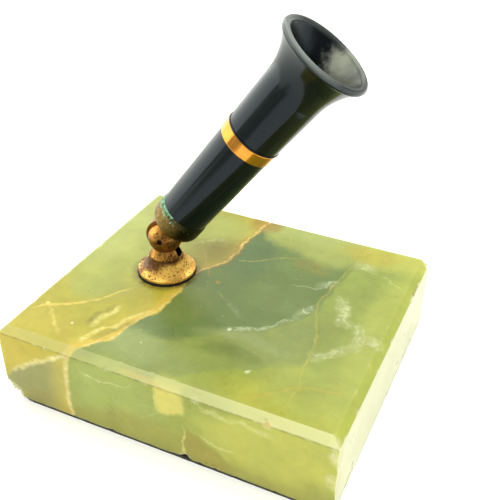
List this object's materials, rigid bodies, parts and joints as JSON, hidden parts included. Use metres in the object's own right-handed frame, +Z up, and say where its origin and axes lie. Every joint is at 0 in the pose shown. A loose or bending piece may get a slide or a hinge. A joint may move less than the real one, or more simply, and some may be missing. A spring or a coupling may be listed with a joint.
{
  "type": "desk pen stand",
  "caption": "Desk pen stand: a black flared trumpet socket on a brass ball joint that tilts and swivels above a chamfered green onyx slab with a felt underside.",
  "frame": {"origin": "middle of the slab's outline, on the desk under the felt", "axes": "+Z up, +X along the slab's long side towards the leaning trumpet, +Y to the back"},
  "size_m": [0.102, 0.088, 0.1075],
  "materials": {
    "green_onyx": "polished, veined",
    "baize": "pressed felt",
    "black_fibre": "matt",
    "lacquered_brass": "bright, pitted",
    "polished_brass": "bright, brown with age in the slot",
    "turned_brass": "as turned",
    "tarnished_brass": "dull brown with green crust",
    "plain_steel": "zinc plated",
    "dark_steel": "blackened",
    "black_ebonite": "polished hard rubber",
    "gold_band": "polished gold plate",
    "dark_sleeve": "moulded",
    "rubber_pad": "matt"
  },
  "bodies": {
    "base": {"base_slab": "green_onyx", "felt_pad": "baize", "flange_gasket": "black_fibre", "flange": "lacquered_brass", "clamp_pad": "black_fibre", "clamp_washer": "plain_steel", "clamp_nut": "turned_brass"},
    "head": {"swivel_head": "polished_brass", "pivot_pin": "dark_steel", "thrust_washer": "turned_brass", "spring_washer": "plain_steel", "spindle_nut": "turned_brass"},
    "trumpet": {"tongue": "tarnished_brass", "socket_cup": "tarnished_brass", "lock_washer": "plain_steel", "tongue_nut": "turned_brass", "trumpet_barrel": "black_ebonite", "trim_band": "gold_band", "trumpet_bell": "black_ebonite", "pen_sleeve": "dark_sleeve", "nib_cushion": "rubber_pad"}
  },
  "joints": [
    {"name": "swivel", "type": "hinge", "parent": "base", "child": "head", "pos_m": [-0.0217, 0.0009, 0.0321], "axis": [0, 0, 1], "continuous": true},
    {"name": "tilt", "type": "hinge", "parent": "head", "child": "trumpet", "pos_m": [-0.0217, 0.0009, 0.03935], "axis": [0.1908, -0.9816, 0], "range_deg": [-47, 122]}
  ]
}
